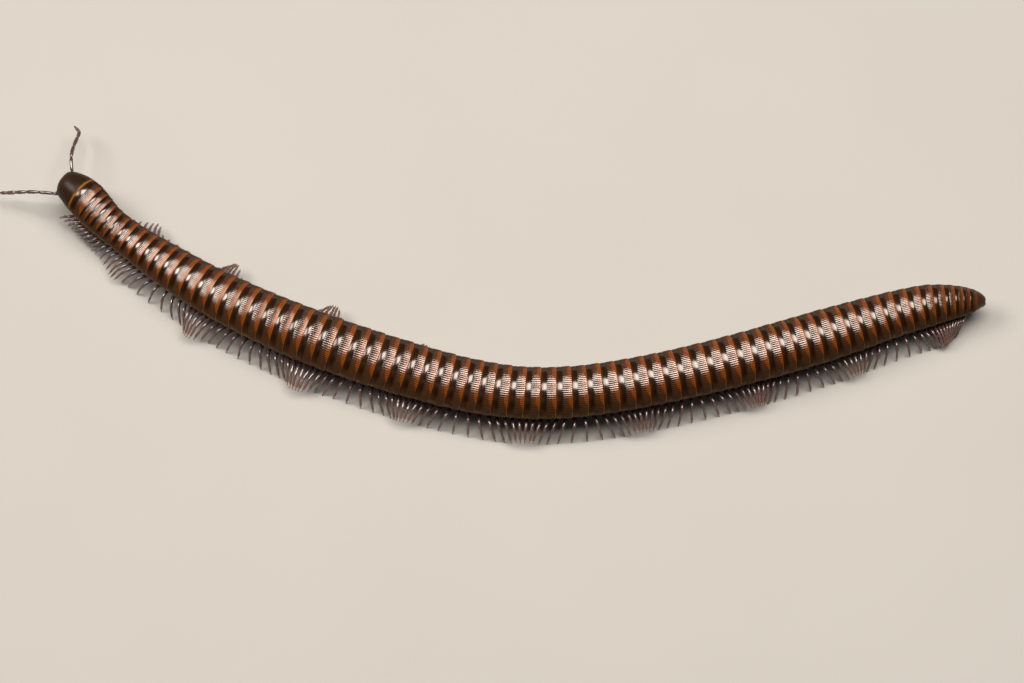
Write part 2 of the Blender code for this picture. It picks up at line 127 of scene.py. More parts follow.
# Walking legs: one pair on rings 2 to 4, none on the last ring and two pairs on the others
FIRST_DOUBLE_RING = 5
DOUBLE_LEG_PLACES = (0.25, 0.75)
SINGLE_LEG_PLACE = 0.6
FULL_HALF_WIDTH = 3.7
ROOT_SIDE, ROOT_RISE = 0.42, 0.62
COXA_SIDE, COXA_DROP = 0.95, 0.2
KNEE_SIDE, KNEE_RISE, KNEE_LIFT = 3.6, 0.95, 0.3
STANCE_SIDE, SWING_HEIGHT = 5.35, 1.9
# How far out the foot of a raised leg is: (place, distance)
SWING_SIDES = ((0, 6.85), (46, 6.85), (60, 6.2), (75, 6.0), (139, 6.0))
# How much closer raised legs on the right are held: (place, distance)
RIGHT_TUCKS = ((0, 0.0), (46, 0.1), (62, 0.9), (139, 0.9))
TIP_CLEARANCE = 0.03

# Leg waves: places where raised legs gather, the swing of tips along the body, how much faster it
# passes over legs on the ground, and the reach of the front legs before the waves begin
GATHERINGS = (-4.0, 15.2, 27.7, 44.1, 59.0, 73.9, 88.6, 104.2, 118.3, 132.2, 147.0)
TIP_SWING, WAVE_SKEW = 1.95, 0.2
KNEE_SHARE, COXA_SHARE = 0.35, 0.05
STANCE_SHARE = 0.1
FRONT_REACH, FRONT_TUCK = 2.7, 0.9
REACH_START, REACH_END = 10.0, 22.0
WAVE_START, WAVE_END = 10.0, 18.0

# Articles of a leg from coxa to claw, as (share of the leg at its end, half thickness at its
# root, at its widest), and an article's rows as (share, fullness)
LEG_ARTICLES = (
    (0.13, 0.235, 0.29), (0.31, 0.215, 0.285), (0.5, 0.205, 0.275), (0.64, 0.19, 0.255),
    (0.77, 0.165, 0.225), (0.95, 0.12, 0.18), (1.0, 0.06, 0.065),
)
ARTICLE_ROWS = ((0.0, 0.0), (0.08, 0.5), (0.25, 0.85), (0.55, 1.0), (0.82, 0.97), (0.95, 0.6))
LEG_COLUMNS, LEG_TIP_HALF, LEG_WOBBLE = 10, 0.012, 0.035
STERNITE_HALF, STERNITE_INSET = (0.4, 0.62, 0.16), 0.04

# Bristles of a leg: number, stretch, lengths as (share of the leg, length), turn to the sides,
# lean forward, and where they leave the leg
LEG_SETAE, SETA_STRETCH, SETA_JITTER = 9, (0.3, 0.95), 0.03
SETA_LENGTHS = ((0.4, 0.3), (1.0, 0.21))
SETA_HALF, SETA_POINT_SHARE = 0.013, 0.15
SETA_SPIN, SETA_LEAN = 1.2, 0.8
SETA_ROOT, SETA_STEP, SETA_MARGIN = 0.08, 0.02, 0.1

# Head, in its own axes back, left and up, turned so that the face looks forward and down
HEAD_PLACE, HEAD_DROP = 1.3, 0.68
HEAD_HALF = (1.45, 1.98, 1.9)
HEAD_ROWS, HEAD_COLUMNS = 60, 120
HEAD_TURN = math.radians(14)
FACE_TONES, FACE_START, FACE_RUN = (0.25, 0.6), 0.3, 1.2

# Relief of the head as (where, width, height): the seam down its middle, the sockets of the
# feelers with their rims, and the groove over the upper lip
SEAM, SEAM_START, SEAM_RUN = (0.0, 0.05, -0.03), 0.2, 0.5
SOCKET_HOLLOW, SOCKET_RIM = (0.0, 0.33, -0.12), (0.48, 0.1, 0.05)
LIP_GROOVE = (-0.55, 0.12, -0.04)

# Rounded parts of the head, on both sides and in the middle: (offset, half sizes, rows, columns, tone)
PAIRED_HEAD_PARTS = (
    ((0.3, 1.15, -0.95), (1.0, 0.75, 0.9), 22, 36, 0.5),  # stem of the jaw
    ((0.75, 1.2, -0.55), (0.62, 0.66, 0.62), 18, 30, 0.4),  # root of the jaw
    ((0.35, 0.5, -1.42), (0.9, 0.42, 0.4), 14, 24, 0.7),  # side plate of the chin
    ((-0.3, 0.22, -1.5), (0.45, 0.2, 0.3), 12, 18, 0.85),  # front plate of the chin
    ((-0.62, 0.5, -1.62), (0.13, 0.12, 0.14), 7, 10, 0.95),  # palp
)
MIDDLE_HEAD_PARTS = (
    ((-0.8, 0.0, -1.2), (0.5, 1.1, 0.7), 22, 40, 0.62),  # upper lip
    ((-0.98, -0.16, -1.72), (0.1, 0.075, 0.13), 7, 10, 0.3),  # teeth of the upper lip
    ((-0.98, 0.0, -1.75), (0.1, 0.075, 0.13), 7, 10, 0.3),
    ((-0.98, 0.16, -1.72), (0.1, 0.075, 0.13), 7, 10, 0.3),
    ((0.75, 0.0, -1.42), (0.6, 0.3, 0.36), 12, 18, 0.6),  # middle plate of the chin
)

# Bristles along the bowed edge of the upper lip, in the head's axes
LIP_SETAE, LIP_SETA_LENGTH, LIP_SETA_HALF, LIP_SETA_UNEVENNESS = 9, 0.32, 0.014, 0.1
LIP_FRONT, LIP_BOW, LIP_SPAN, LIP_HEIGHT = -1.12, 0.2, 0.85, -1.1
LIP_SETA_DIRECTION = (-1.0, 0.0, -0.9)

# Neck below the collum: (place, half width)
NECK_HALF_WIDTHS = ((2.0, 1.3), (2.9, 2.0), (4.1, 2.35))
NECK_ROWS, NECK_COLUMNS = 8, 48

# Eyes: a pad with staggered rows of small domes as far as a share of the pad's edge
EYE_OFFSET, EYE_HALF = (-0.45, 1.66, 0.75), (0.46, 0.34, 0.38)
EYE_PAD_FIT, EYE_REACH, EYE_EDGE = (0.97, 0.9, 0.97), 0.98, 0.86
EYE_ROWS, EYE_STEPS = 3, 4
OCELLUS_HALF, OCELLUS_SPACING, OCELLUS_ROW_RATIO = (0.058, 0.058, 0.05), 0.125, 0.87

# Collum, a smooth blunt dome: (place, half width, rise above the axis)
COLLUM_OUTLINE = (
    (0.0, 1.0, 1.0), (0.15, 1.5, 1.35), (0.5, 1.85, 1.7), (1.1, 2.1, 2.05), (2.1, 2.42, 2.38),
    (3.0, 2.65, 2.58), (3.8, 2.76, 2.67),
)
COLLUM_DROP_RATIO = 0.92
COLLUM_END = RING_EDGES[0][1]
COLLUM_REACH = math.radians(138)
COLLUM_MARGIN = ((0.0, 0.0), (0.25, 0.06), (0.5, 0.38), (0.72, 1.0), (0.88, 1.75), (1.0, 2.6))
COLLUM_ROWS = (
    0.0, 0.012, 0.03, 0.05, 0.08, 0.12, 0.17, 0.24, 0.32, 0.42, 0.54, 0.66, 0.78, 0.88, 0.94, 0.975, 1.0,
)
COLLUM_COLUMNS = 120
COLLUM_THICKNESS, COLLUM_THIN_SHARE, COLLUM_INSET = 0.14, 0.08, 0.04

# Relief over the collum's length: ridge and furrow in front as (share, width, height), where its
# hind edge begins to fall and by how much, and where its front tone ends
COLLUM_RIDGES = ((0.03, 0.025, 0.035), (0.09, 0.03, -0.03))
COLLUM_FALL_START, COLLUM_FALL = 0.93, 0.05
COLLUM_FRONT_TONE = 0.14

# Feelers: routes as (x, y, height), and articles as in the legs
FEELER_SOCKET, SOCKET_INSET = (-0.5, 0.8, -0.1), 0.93
LEFT_FEELER = (
    (-61.6, 12.2, 5.55), (-62.8, 12.45, 5.25), (-65.5, 12.95, 4.2), (-67.6, 13.4, 3.1), (-68.6, 13.75, 2.4),
)
RIGHT_FEELER = (
    (-58.3, 17.2, 5.55), (-58.0, 20.35, 4.9), (-57.7, 22.6, 3.9), (-58.1, 23.3, 3.3), (-58.5, 23.9, 3.0),
)

FEELER_ARTICLES = (
    (0.07, 0.2, 0.25), (0.3, 0.14, 0.245), (0.5, 0.135, 0.26), (0.67, 0.135, 0.265),
    (0.84, 0.14, 0.28), (0.95, 0.15, 0.25), (1.0, 0.13, 0.14),
)
FEELER_TIP_HALF, FEELER_COLUMNS, FEELER_REACH = 0.07, 14, 0.45
FEELER_CONES, CONE_HALF, CONE_OFFSET = 4, (0.022, 0.022, 0.07), 0.04
FEELER_SETAE, FEELER_SETA_STRETCH, FEELER_SETA_LEAN = 90, (0.1, 0.96), 0.9
FEELER_SETA_ROOT, FEELER_SETA_LENGTH, FEELER_SETA_HALF = 0.17, 0.2, 0.009

# Telson, the pointed last piece, drawn out into a hood over its two anal valves. The hood and the
# lips of the valves are given as (where, width, height).
TELSON_LENGTH, TELSON_HALF_WIDTH, TELSON_TAPER = 1.55, 1.5, 0.5
TELSON_SHARES = (-0.12, 0.0, 0.06, 0.15, 0.28, 0.42, 0.56, 0.7, 0.82, 0.92, 0.975, 1.0)
TELSON_COLUMNS, TELSON_WALL, TELSON_POINT_SHARE = 96, 0.12, 0.992
TELSON_FRONT_GIRTH, TELSON_SKIN_SHARE = 0.97, 0.01
HOOD = (0.0, 1.0, 0.28)
VALVE_OFFSET, VALVE_HALF = (0.76, 0.37, -0.28), (0.78, 0.48, 0.82)
VALVE_FLAT_START, VALVE_FLATNESS = 0.3, 0.9
VALVE_LIP = (0.25, 0.09, 0.06)
SCALE_OFFSET, SCALE_HALF = (0.4, 0.0, -0.98), (0.45, 0.5, 0.15)

# Camera: the middle of the picture, and where the camera stands from it
CAMERA_TARGET = (3.1, -9.7, 4.0)
CAMERA_DISTANCE = 450
CAMERA_ELEVATION = 66
PICTURE_WIDTH = 139.67
SENSOR_WIDTH = 36

# Studio, in metres, degrees and watts: soft boxes as (name, azimuth, elevation, distance from the
# middle of the picture, size, power, shift to the right)
FLOOR_SIZE = 6.0
FLOOR_TINTS, FLOOR_ROUGHNESS = ((0.215, 0.205, 0.19), (0.23, 0.22, 0.205)), 0.85
LIGHT_COLOUR = (1.0, 0.94, 0.88)
LIGHTS = (
    ("key", 180, 83, 0.5, (0.45, 0.25), 6.4, 0.085),
    ("front", -103, 51, 0.62, (0.26, 0.26), 4.8, 0.0),
    ("fill", -20, 32, 0.8, (0.6, 0.4), 0.35, 0.0),
)
SKY_COLOUR, SKY_STRENGTH = (1.0, 0.97, 0.94, 1), 0.035


def spline_through(knots, where):
    """Natural cubic spline through (place, value, ...) knots, read at the places in where."""
    table = np.array(knots, float)
    place, value = table[:, 0], table[:, 1:]
    step = np.diff(place)
    slope = np.diff(value, axis=0) / step[:, None]
    matrix = np.eye(len(place))
    right = np.zeros_like(value)
    for i in range(1, len(place) - 1):
        matrix[i, i - 1:i + 2] = step[i - 1], 2 * (step[i - 1] + step[i]), step[i]
        right[i] = 6 * (slope[i] - slope[i - 1])
    bend = np.linalg.solve(matrix, right)
    where = np.atleast_1d(np.asarray(where, float))
    i = np.clip(np.searchsorted(place, where) - 1, 0, len(step) - 1)
    before = ((where - place[i]) / step[i])[:, None]
    after = 1 - before
    curve = after * value[i] + before * value[i + 1]
    square = (step[i] ** 2 / 6)[:, None]
    return curve + square * ((after ** 3 - after) * bend[i] + (before ** 3 - before) * bend[i + 1])


def read_curve(knots, where):
    """The smooth curve through (place, value) knots, read at one place or an array of places."""
    where = np.asarray(where, float)
    return spline_through(knots, where.ravel())[:, 0].reshape(where.shape)


def read_table(knots, where):
    """The straight stretches between (place, value) knots, read at one place or an array of places."""
    return np.interp(where, *zip(*knots))


def lengths_along(points):
    """Lengths along straight stretches from the first point to each point."""
    return np.concatenate([[0], np.cumsum(np.linalg.norm(np.diff(points, axis=0), axis=1))])


def unit(vectors):
    return vectors / np.linalg.norm(vectors, axis=-1, keepdims=True)


def ridge(value, at, width, height):
    """A soft ridge over a value, or a furrow where its height is below 0."""
    return height * np.exp(-((value - at) / width) ** 2)


def turns(count):
    """Angles all the way round, evenly spaced."""
    return np.linspace(0, 2 * math.pi, count, endpoint=False)


def add_object(name, data):
    made = bpy.data.objects.new(name, data)
    bpy.context.scene.collection.objects.link(made)
    return made


def smooth_step(value):
    value = np.clip(value, 0.0, 1.0)
    return value * value * (3 - 2 * value)


class Body:
    """The bent axis with its heights and half widths, and the ring edges along it."""

    def __init__(self):
        places = lengths_along(AXIS_PLAN)
        fine = np.linspace(0, places[-1], AXIS_STEPS)
        self.points = spline_through(np.column_stack([places, AXIS_PLAN]), fine)
        self.lengths = lengths_along(self.points)
        self.edges = np.concatenate([[0], read_curve(RING_EDGES, np.arange(1, RING_COUNT + 1))])

    def at(self, place):
        place = np.asarray(place, float)
        ends = unit(np.diff(self.points, axis=0)[[0, -1]])
        beyond = np.clip(place - self.lengths[-1], 0, None) + np.clip(place, None, 0)
        past = beyond[..., None] * ends[(place > 0).astype(int)]
        x, y = [np.interp(place, self.lengths, column) for column in self.points.T]
        rise = self.rise(place)
        height = read_curve(AXIS_HEIGHTS, place) + rise
        return np.stack([x + past[..., 0], y + past[..., 1] - RISE_BEND * rise, height], axis=-1)

    def rise(self, place):
        """How far the raised front end is lifted at a place."""
        return FRONT_RISE * np.clip(1 - place / RISE_END, 0, None) ** 2

    def frame(self, place):
        """Unit vectors towards the tail, to the animal's left and up."""
        place = np.asarray(place, float)
        tail = unit(self.at(place + FRAME_REACH) - self.at(place - FRAME_REACH))
        left = unit(np.cross(tail, (0.0, 0.0, 1.0)))
        return tail, left, np.cross(left, tail)

    def half_width(self, place):
        return read_curve(HALF_WIDTHS, place)

    def belly(self, place):
        return self.at(place)[..., 2] - BELLY_FLATNESS * self.half_width(place)

    def lean(self, place):
        """Shift along the body for each unit up and for each unit to the left."""
        places, leans, yaws = zip(*RING_LEANS)
        return np.interp(place, places, leans), np.interp(place, places, yaws)

    def under(self, place, along, left, height):
        """A point at a given height under the body, set off from the belly of the section at place."""
        tail_axis, left_axis, _ = self.frame(place)
        tail_axis = unit(tail_axis * (1, 1, 0))
        along = along - self.lean(place)[0] * BELLY_FLATNESS * self.half_width(place)
        point = self.at(place) + along * tail_axis + left * left_axis
        point[2] = height
        return point

    def point(self, place, along, left, up):
        """Points given in the axes of the sections at place, leaning as the rings lean."""
        place, along, left, up = np.broadcast_arrays(place, along, left, up)
        tail_axis, left_axis, up_axis = self.frame(place)
        lean, yaw = self.lean(place)
        along = along + up * lean + left * yaw
        offset = along[..., None] * tail_axis + left[..., None] * left_axis + up[..., None] * up_axis
        return self.at(place) + offset

    def skin(self, place, half_width, turn, along=0.0):
        """Points on a section, at a turn from the middle of the back."""
        up = np.cos(turn)
        flatness = np.where(up > 0, BACK_FLATNESS, BELLY_FLATNESS)
        return self.point(place, along, np.sin(turn) * half_width, up * flatness * half_width)


BODY = Body()


class Piece:
    """A mesh in the making: grids of points with their values and their patches of the baking map."""

    def __init__(self, name):
        self.name = name
        self.points, self.faces, self.corners, self.patches = [], [], [], []
        self.values = []
        self.count = 0

    def add(self, grid, wrap=True, loop=False, **values):
        """One closed skin from rows of points. Its columns wrap round, or else have side faces, and its rows
        loop, or else have caps."""
        grid = np.asarray(grid, float)
        rows, columns = grid.shape[:2]
        index = self.count + np.arange(rows * columns).reshape(rows, columns)
        i, j = np.mgrid[:rows if loop else rows - 1, :columns if wrap else columns - 1].reshape(2, -1)
        below, beside = (i + 1) % rows, (j + 1) % columns
        quads = np.stack([index[i, j], index[i, beside], index[below, beside], index[below, j]], axis=1)
        spots = np.stack([j, i], 1)[:, None] + ((0, 0), (1, 0), (1, 1), (0, 1))
        faces, corners = quads.tolist(), list(spots / (columns, rows))
        points = grid.reshape(-1, 3)
        extra = []
        if not loop:
            for row, step, edge in ((0, 1, 0.0), (rows - 1, -1, (rows - 1) / rows)):
                middle = self.count + len(points) + len(extra)
                extra.append(grid[row].mean(axis=0))
                ring = index[row][::step].tolist()
                faces += [[b, a, middle] for a, b in zip(ring, ring[1:] + ring[:1])]
                start = np.stack([np.arange(columns) / columns, np.full(columns, edge)], 1)
                fan = start[:, None] + ((1 / columns, 0), (0, 0), (0.5 / columns, 0))
                corners += list(fan)
        if not wrap:
            half = rows // 2
            for column, step in ((0, 1), (columns - 1, -1)):
                strip = index[:, column].tolist()
                for k in range(half - 1):
                    face = [strip[k], strip[k + 1], strip[rows - 2 - k], strip[rows - 1 - k]]
                    faces.append(face[::step])
                    edge = column / columns
                    corners.append(np.array([(edge, k / rows), (edge, (k + 1) / rows)] * 2))
        points = np.concatenate([points, np.array(extra).reshape(-1, 3)])
        if self.inside_out(points, faces):
            faces = [face[::-1] for face in faces]
            corners = [corner[::-1] for corner in corners]
        self.points.append(points)
        self.faces += faces
        self.corners.append(np.concatenate(corners))
        steps = [np.linalg.norm(np.diff(grid, axis=axis), axis=2).sum(axis=axis) for axis in (1, 0)]
        self.patches.append([step.max() for step in steps])
        table = {}
        for key, value in values.items():
            full = np.broadcast_to(np.asarray(value, float), (rows, columns))
            ends = [] if loop else [full[row].mean() for row in (0, rows - 1)]
            table[key] = np.concatenate([full.ravel(), ends])
        self.values.append((len(points), table))
        self.count += len(points)

    def add_ball(self, middle, halves, axes, rows, columns, **values):
        self.add(ball_grid(middle, halves, axes, rows, columns), **values)

    def inside_out(self, points, faces):
        """Whether the faces of the newest skin look inwards, from the sign of its volume."""
        corners = [[face[k] - self.count for face in faces] for k in (0, 1, 2, -1)]
        first, second, third, last = (points - points.mean(axis=0))[corners]
        return np.sum(first * (np.cross(second, third) + np.cross(third, last))) < 0

    def patch_places(self):
        """Places of the patches on shelves of one square map, and the map's size."""
        sizes = np.array(self.patches)
        edge = PATCH_GAP * sizes.mean()
        width = max(PATCH_ROOM * math.sqrt((sizes + edge).prod(axis=1).sum()), sizes[:, 0].max() + edge)
        order = np.argsort(-sizes[:, 1], kind="stable")
        places = np.zeros_like(sizes)
        x = y = shelf = 0.0
        for k in order:
            if x + sizes[k, 0] + edge > width:
                x, y, shelf = 0.0, y + shelf, 0.0
            places[k] = x, y
            x += sizes[k, 0] + edge
            shelf = max(shelf, sizes[k, 1] + edge)
        return places, max(width, y + shelf)

    def write(self, paint, *nodes, slot):
        """The finished object in metres, riding on the root body in place of its solids."""
        mesh = bpy.data.meshes.new(self.name)
        mesh.from_pydata((np.concatenate(self.points) * METRE).tolist(), [], self.faces)
        places, full = self.patch_places()
        spots = [(corner * size + place) / full
                 for corner, size, place in zip(self.corners, np.array(self.patches), places)]
        mesh.uv_layers.new(name="OFBake").data.foreach_set("uv", np.concatenate(spots).ravel())
        keys = sorted({key for _, table in self.values for key in table})
        for key in keys:
            column = [table.get(key, np.zeros(count)) for count, table in self.values]
            mesh.attributes.new(key, "FLOAT", "POINT").data.foreach_set("value", np.concatenate(column))
        mesh.shade_smooth()
        mesh.materials.append(paint)
        made = add_object(self.name, mesh)
        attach(made, "root")
        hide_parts(*nodes)


def circle_points(count, first_axis, second_axis):
    """Points on a circle of radius one between two axes."""
    angle = turns(count)[:, None]
    return np.cos(angle) * first_axis + np.sin(angle) * second_axis


def ball_grid(middle, halves, axes, rows, columns):
    """Rows of points on an ellipsoid, from the end of its third axis to the other."""
    first, second, third = np.asarray(halves)[:, None] * np.asarray(axes)
    tilt = np.linspace(POLE_GAP, math.pi - POLE_GAP, rows)[:, None, None]
    return np.asarray(middle) + np.sin(tilt) * circle_points(columns, first, second) + np.cos(tilt) * third


def tube_grid(route, radii, columns):
    """Rows of points round a route."""
    ahead = np.gradient(route, axis=0)
    across = unit(np.cross(ahead, (0.0, 0.0, 1.0)))
    over = unit(np.cross(across, ahead))
    circles = circle_points(columns, across[:, None, :], over[:, None, :])
    return route[:, None, :] + np.asarray(radii)[:, None, None] * circles


def sample_line(points, shares):
    """Points at shares of the length of a curve through a few points."""
    lengths = lengths_along(points)
    return spline_through(np.column_stack([lengths, points]), np.asarray(shares) * lengths[-1])


def article_rows(articles, tip_half, thickness):
    """Shares along a limb, half thicknesses and how far each row is in a joint."""
    rows = []
    start = 0.0
    for end, root_half, widest in articles:
        for share, fullness in ARTICLE_ROWS:
            radius = root_half + (widest - root_half) * fullness
            rows.append((start + share * (end - start), radius * thickness, share == 0))
        start = end
    return np.array(rows + [(1.0, tip_half * thickness, False)], float).T


# Roughness of noise, and its values between which a blotch or a grain goes from none to full
NOISE_ROUGHNESS, BLOTCH_RANGE, GRAIN_RANGE = 0.55, (0.3, 0.7), (0.25, 0.75)


class Paint:
    """A material in the making, with short calls for its nodes."""

    def __init__(self, name):
        self.material = bpy.data.materials.new(name)
        self.material.use_nodes = True
        self.tree = self.material.node_tree
        self.shader = self.tree.nodes["Principled BSDF"]

    def feed(self, target, value):
        if isinstance(value, bpy.types.NodeSocket):
            self.tree.links.new(value, target)
        else:
            target.default_value = value

    def node(self, kind, **inputs):
        """A new node with values or links for its sockets."""
        made = self.tree.nodes.new(kind)
        for name, value in inputs.items():
            self.feed(made.inputs[name], value)
        return made

    def attribute(self, name):
        node = self.node("ShaderNodeAttribute")
        node.attribute_name = name
        return node.outputs["Fac"]

    def noise(self, size, detail):
        """Noise whose grains are about size millimetres."""
        place = self.node("ShaderNodeTexCoord").outputs["Object"]
        node = self.node("ShaderNodeTexNoise", Vector=place, Scale=1 / (size * METRE), Detail=detail,
                         Roughness=NOISE_ROUGHNESS)
        return node.outputs["Fac"]

    def math(self, operation, first, second):
        node = self.node("ShaderNodeMath")
        node.operation = operation
        for socket, value in zip(node.inputs, (first, second)):
            self.feed(socket, value)
        return node.outputs["Value"]

    def times(self, first, second):
        return self.math("MULTIPLY", first, second)

    def plus(self, first, second):
        return self.math("ADD", first, second)

    def minus(self, first, second):
        return self.math("SUBTRACT", first, second)

    def spread(self, value, old, new=(0.0, 1.0), smooth=False):
        """Maps the old range onto the new one, and clamps."""
        node = self.node("ShaderNodeMapRange")
        node.interpolation_type = "SMOOTHSTEP" if smooth else "LINEAR"
        for socket, number in zip(node.inputs, (value, *old, *new)):
            self.feed(socket, number)
        return node.outputs["Result"]

    def warp(self, share, noise, reach):
        """A share moved unevenly in its middle and not at all at its ends."""
        middle = self.times(share, self.minus(1.0, share))
        return self.plus(share, self.times(middle, self.spread(noise, BLOTCH_RANGE, (-reach, reach))))

    def mottle(self, colour, noise, old, darkest):
        """A colour darkened unevenly, down to a share of itself."""
        return self.mix(1.0, colour, self.spread(noise, old, (darkest, 1.0)), "MULTIPLY")

    def ramp(self, value, stops):
        """Colours or numbers along a value, as (value, colour or number) stops."""
        node = self.node("ShaderNodeValToRGB", Fac=value)
        elements = node.color_ramp.elements
        while len(elements) < len(stops):
            elements.new(0.5)
        for element, (place, shade) in zip(elements, stops):
            element.position = place
            element.color = (*shade, 1) if isinstance(shade, tuple) else (shade, shade, shade, 1)
        return node.outputs["Color"]

    def mix(self, share, first, second, blend="MIX"):
        node = self.node("ShaderNodeMix")
        node.data_type = "RGBA"
        node.blend_type = blend
        colours = [socket for socket in node.inputs if socket.type == "RGBA"]
        self.feed(node.inputs["Factor"], share)
        for socket, value in zip(colours, (first, second)):
            self.feed(socket, (*value, 1) if isinstance(value, tuple) else value)
        return [socket for socket in node.outputs if socket.type == "RGBA"][0]

    def bump(self, size, detail, distance, strength):
        """Fine relief of noise, sizes in millimetres."""
        height = self.noise(size, detail)
        node = self.node("ShaderNodeBump", Strength=strength, Distance=distance * METRE, Height=height)
        self.feed(self.shader.inputs["Normal"], node.outputs["Normal"])

    def finish(self, colour, roughness, **sockets):
        self.feed(self.shader.inputs["Base Color"], colour)
        self.feed(self.shader.inputs["Roughness"], roughness)
        for name, value in sockets.items():
            self.feed(self.shader.inputs[name.replace("_", " ")], value)
        return self.material


# Colours over a ring's length on the back, the flank and the band, then its roughness and gloss
BACK_STOPS = (
    (0.0, (0.035, 0.012, 0.002)), (0.08, (0.015, 0.0055, 0.0014)), (0.18, (0.0085, 0.0035, 0.0014)),
    (0.36, (0.0085, 0.0034, 0.0014)), (0.44, (0.028, 0.0115, 0.005)), (0.58, (0.043, 0.0172, 0.0072)),
    (1.0, (0.043, 0.0165, 0.006)),
)
FLANK_STOPS = (
    (0.0, (0.036, 0.014, 0.004)), (0.3, (0.038, 0.0155, 0.005)), (0.38, (0.036, 0.015, 0.0048)),
    (0.45, (0.052, 0.0225, 0.0075)), (0.6, (0.058, 0.0255, 0.0085)), (0.9, (0.056, 0.024, 0.0075)),
    (1.0, (0.065, 0.027, 0.008)),
)
BAND_STOPS = (
    (0.0, (0.13, 0.026, 0.0005)), (0.7, (0.155, 0.0315, 0.0005)), (0.955, (0.145, 0.029, 0.0005)),
    (1.0, (0.16, 0.045, 0.006)),
)
GLOSS_STOPS = (
    (0.0, 0.19), (0.3, 0.18), (0.37, 0.18), (0.42, 0.185), (0.9, 0.185), (0.97, 0.17), (1.0, 0.17),
)
SHEEN_STOPS = (
    (0.0, 0.2), (0.08, 0.22), (0.17, 0.36), (0.27, 0.45), (0.38, 0.3), (0.45, 0.7), (0.6, 0.85),
    (0.92, 0.85), (1.0, 0.65),
)
SHEEN_TINT, CUTICLE_IOR = (1.0, 0.89, 0.82, 1), 1.68
# Painted shade: the groove shade colour darkens the fine lengthwise grooves, where shade falls in them
# The low flank colour is partly the rings' paler low edge and partly painted light, bounced up from the
# ground
PALE_LOW_FLANK_AND_BOUNCE_LIGHT, GROOVE_SHADE_COLOUR = (0.165, 0.09, 0.04), (0.006, 0.003, 0.0015)
RIM_COLOUR, FLANK_RIM_COLOUR, RIM_SHARES = (0.15, 0.06, 0.014), (0.4, 0.22, 0.095), (0.965, 0.985)

# Turns over which the back gives way to the flank and the flank to its low edge, the band narrows
# from one front share to the other, the rim pales and the gloss fades
FLANK_TURNS, LOW_TURNS, RIM_TURNS, SHEEN_TURNS = (0.95, 1.4), (1.3, 1.8), (1.1, 1.55), (0.42, 0.88)
BAND_TURNS, BAND_FRONTS = (0.7, 1.22), (0.725, 0.985)


def ring_paint():
    """Cuticle of a ring: black-brown in front, grey-brown behind the groove, then an orange-brown band."""
    paint = Paint("banded_cuticle")
    share, turn = paint.attribute("share"), paint.attribute("turn")
    groove, band = paint.attribute("groove"), paint.attribute("band")
    blotch, grain = paint.noise(size=1.1, detail=4.0), paint.noise(size=0.12, detail=3.0)
    moved = paint.warp(share, blotch, 0.16)
    side = paint.plus(turn, paint.spread(blotch, BLOTCH_RANGE, (-0.07, 0.07)))
    back, flank = paint.ramp(moved, BACK_STOPS), paint.ramp(moved, FLANK_STOPS)
    colour = paint.mix(paint.spread(side, FLANK_TURNS, smooth=True), back, flank)
    # The low flank is lightened: partly its paler tone, partly painted light bounced up from the ground
    colour = paint.mix(paint.spread(side, LOW_TURNS, (0.0, 0.8), smooth=True), colour, PALE_LOW_FLANK_AND_BOUNCE_LIGHT)
    front = paint.spread(side, BAND_TURNS, BAND_FRONTS, smooth=True)
    edge = paint.minus(front, 0.02), paint.plus(front, 0.04)
    banded = paint.times(paint.spread(moved, edge, smooth=True), band)
    colour = paint.mix(banded, colour, paint.ramp(share, BAND_STOPS))
    rim = paint.mix(paint.spread(side, RIM_TURNS, smooth=True), RIM_COLOUR, FLANK_RIM_COLOUR)
    colour = paint.mix(paint.spread(share, RIM_SHARES, (0.0, 0.8)), colour, rim)
    # Painted shade darkens the fine lengthwise grooves by their depth
    colour = paint.mix(paint.times(groove, 0.85), colour, GROOVE_SHADE_COLOUR)
    colour = paint.mottle(colour, grain, GRAIN_RANGE, darkest=0.86)
    gloss = paint.plus(paint.ramp(share, GLOSS_STOPS), paint.spread(blotch, BLOTCH_RANGE, (-0.03, 0.04)))
    paint.bump(size=0.06, detail=2.0, distance=0.002, strength=0.1)
    fade = paint.spread(turn, SHEEN_TURNS, (1.0, 0.03), smooth=True)
    sheen = paint.times(paint.times(paint.ramp(share, SHEEN_STOPS), fade), paint.minus(1.0, groove))
    return paint.finish(colour, gloss, IOR=CUTICLE_IOR, Specular_IOR_Level=sheen, Specular_Tint=SHEEN_TINT)


LIMB_STOPS = (
    (0.0, (0.03, 0.016, 0.012)), (0.35, (0.05, 0.026, 0.024)), (0.7, (0.065, 0.035, 0.031)),
    (0.88, (0.085, 0.042, 0.028)), (1.0, (0.12, 0.055, 0.022)),
)
LIMB_JOINT_COLOUR = (0.07, 0.036, 0.024)


def limb_paint():
    """Legs and feelers: dark purplish brown, paler at the joints, orange-brown at the tips."""
    paint = Paint("limb_cuticle")
    blotch = paint.noise(size=0.5, detail=3.0)
    colour = paint.ramp(paint.attribute("reach"), LIMB_STOPS)
    colour = paint.mix(paint.times(paint.attribute("joint"), 0.7), colour, LIMB_JOINT_COLOUR)
    colour = paint.mottle(colour, blotch, (0.3, 0.5), darkest=0.75)
    paint.bump(size=0.05, detail=2.0, distance=0.003, strength=0.5)
    return paint.finish(colour, paint.spread(blotch, BLOTCH_RANGE, (0.16, 0.26)), IOR=CUTICLE_IOR)


def shell_paint(name, stops, roughness, sheen):
    """Smooth cuticle whose colour follows one value along it, with a soft mottle."""
    paint = Paint(name)
    blotch, grain = paint.noise(size=0.7, detail=4.0), paint.noise(size=0.1, detail=3.0)
    colour = paint.ramp(paint.warp(paint.attribute("share"), blotch, 0.25), stops)
    colour = paint.mottle(colour, grain, (0.25, 0.5), darkest=0.8)
    gloss = paint.spread(blotch, BLOTCH_RANGE, (roughness - 0.04, roughness + 0.06))
    paint.bump(size=0.07, detail=2.0, distance=0.003, strength=0.5)
    return paint.finish(colour, gloss, IOR=1.55, Specular_IOR_Level=sheen)


